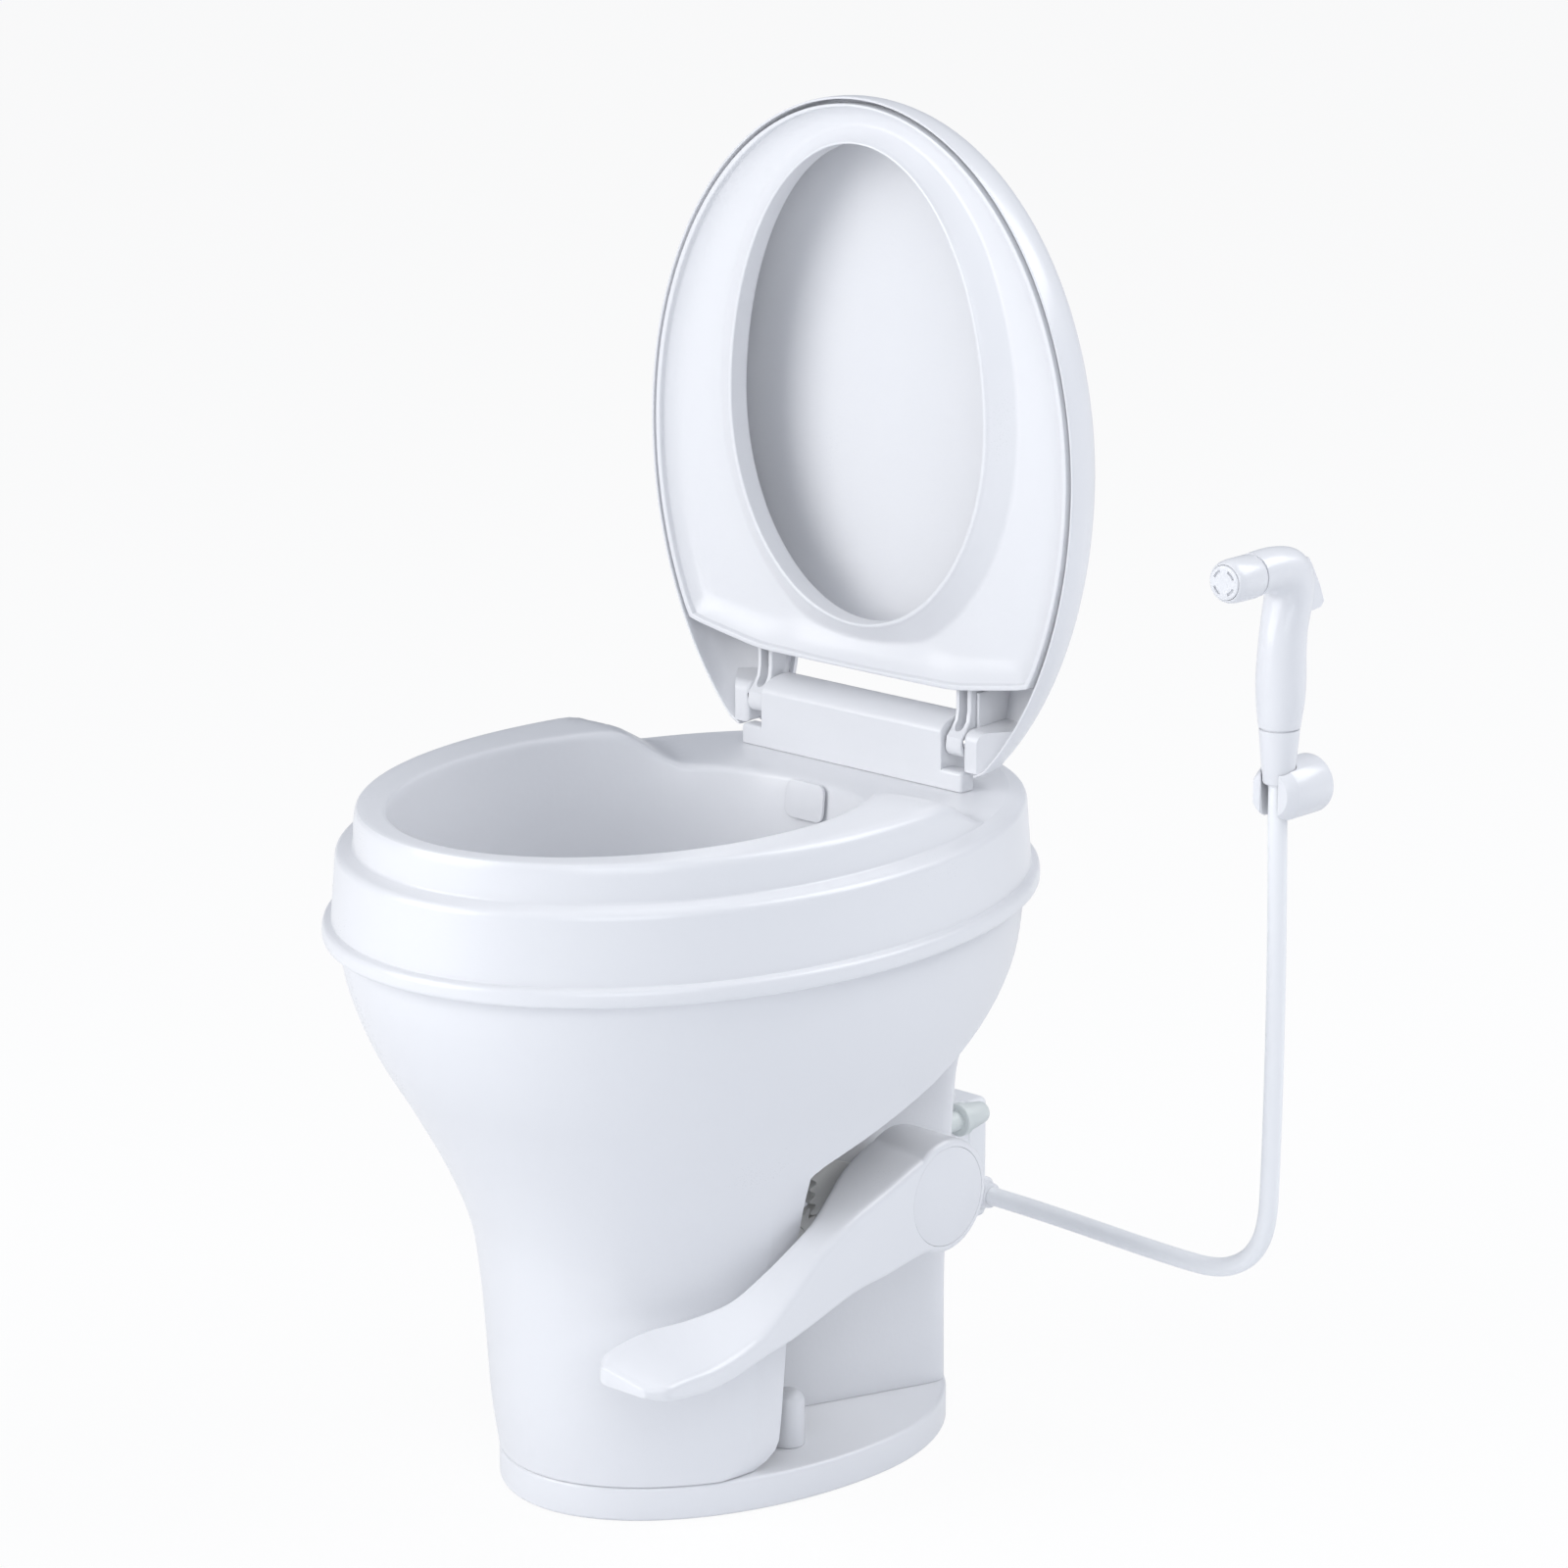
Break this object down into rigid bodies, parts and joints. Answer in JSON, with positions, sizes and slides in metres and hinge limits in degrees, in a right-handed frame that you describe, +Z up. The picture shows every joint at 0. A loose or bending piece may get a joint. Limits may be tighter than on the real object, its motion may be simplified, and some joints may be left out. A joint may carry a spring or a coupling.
{
  "type": "rv toilet",
  "caption": "Gravity-flush camper toilet with a foot pedal, a raised seat and lid, a flush ball, and a hand sprayer on a hose in a wall clip.",
  "frame": {"origin": "on the floor under the foot plate, on the centre line, 7 mm behind the seat and lid hinge axis", "axes": "+Z up, -Y to the front of the toilet, +X to the side with the pedal and the sprayer"},
  "size_m": [0.4898, 0.5075, 0.8421],
  "materials": {
    "white_gloss": "smooth glossy white moulded plastic",
    "white_soft": "satin white plastic, slightly translucent on the hose",
    "grey_green": "satin grey-green plastic",
    "rubber": "matt black rubber",
    "steel": "bright drawn steel",
    "nylon": "natural off-white nylon"
  },
  "bodies": {
    "root": {"base_plate": "white_gloss", "floor_seal": "rubber", "floor_bolt_left": "steel", "floor_bolt_right": "steel", "floor_nut_left": "steel", "floor_nut_right": "steel", "bolt_cap_left": "white_gloss", "bolt_cap_right": "white_gloss", "rear_column": "white_gloss", "valve_body": "nylon", "ball_seal": "rubber", "bowl": "white_gloss", "rim_ring": "white_gloss", "front_shell": "white_gloss", "shaft_bracket": "nylon", "shaft_bush": "nylon", "return_spring": "steel", "water_valve": "white_soft", "hose_nut": "white_gloss", "inlet_cap": "grey_green", "flush_tube": "white_soft", "vacuum_breaker": "white_soft", "nozzle_elbow": "white_soft", "flush_nozzle": "white_gloss", "hinge_block": "white_gloss", "hinge_stud_left": "steel", "hinge_stud_right": "steel", "hinge_nut_left": "nylon", "hinge_nut_right": "nylon", "spray_hose": "white_soft", "wall_clip": "white_gloss", "clip_screw": "steel"},
    "lid": {"lid": "white_gloss", "lid_bumper_left_low": "rubber", "lid_bumper_left_high": "rubber", "lid_bumper_right_low": "rubber", "lid_bumper_right_high": "rubber", "hinge_pin_left": "steel", "hinge_pin_right": "steel"},
    "seat": {"seat": "white_gloss"},
    "pedal": {"pedal": "white_gloss", "pedal_cap": "white_gloss", "pedal_shaft": "steel", "sector_gear": "nylon", "valve_cam": "nylon"},
    "ball": {"flush_ball": "nylon", "ball_pinion": "nylon"},
    "push_rod": {"valve_rod": "steel"},
    "sprayer": {"cone_nut": "white_gloss", "spray_handle": "white_gloss", "spray_collar": "white_gloss", "spray_face": "white_gloss", "trigger_pin": "steel"},
    "trigger": {"spray_trigger": "white_gloss"}
  },
  "joints": [
    {"name": "lid_hinge", "type": "hinge", "parent": "root", "child": "lid", "pos_m": [0, -0.007, 0.4485], "axis": [-1, 0, 0], "range_deg": [-90, 0]},
    {"name": "seat_hinge", "type": "hinge", "parent": "lid", "child": "seat", "pos_m": [0, -0.007, 0.4485], "axis": [1, 0, 0], "range_deg": [0, 90]},
    {"name": "pedal_hinge", "type": "hinge", "parent": "root", "child": "pedal", "pos_m": [0.12, -0.0837, 0.1823], "axis": [1, 0, 0], "range_deg": [0, 24], "stiffness_Nm_per_rad": 3, "springref_deg": -28.65},
    {"name": "ball_turn", "type": "hinge", "parent": "root", "child": "ball", "pos_m": [0.08, -0.156, 0.1602], "axis": [1, 0, 0], "range_deg": [-85, 0]},
    {"name": "valve_push", "type": "slide", "parent": "root", "child": "push_rod", "axis": [0, 1, 0], "range_m": [0, 0.0085]},
    {"name": "sprayer_lift", "type": "slide", "parent": "root", "child": "sprayer", "axis": [0, 0, 1], "range_m": [0, 0.05], "deforming": ["spray_hose"]},
    {"name": "sprayer_trigger", "type": "hinge", "parent": "sprayer", "child": "trigger", "pos_m": [0.282, 0.0723, 0.5785], "axis": [-1, 0, 0], "range_deg": [0, 6], "stiffness_Nm_per_rad": 0.05, "springref_deg": -5.73}
  ],
  "couplings": [
    {"joint": "ball_turn", "follows": "pedal_hinge", "ratio": -3.5},
    {"joint": "valve_push", "follows": "pedal_hinge", "m_per_rad": 0.0195}
  ]
}
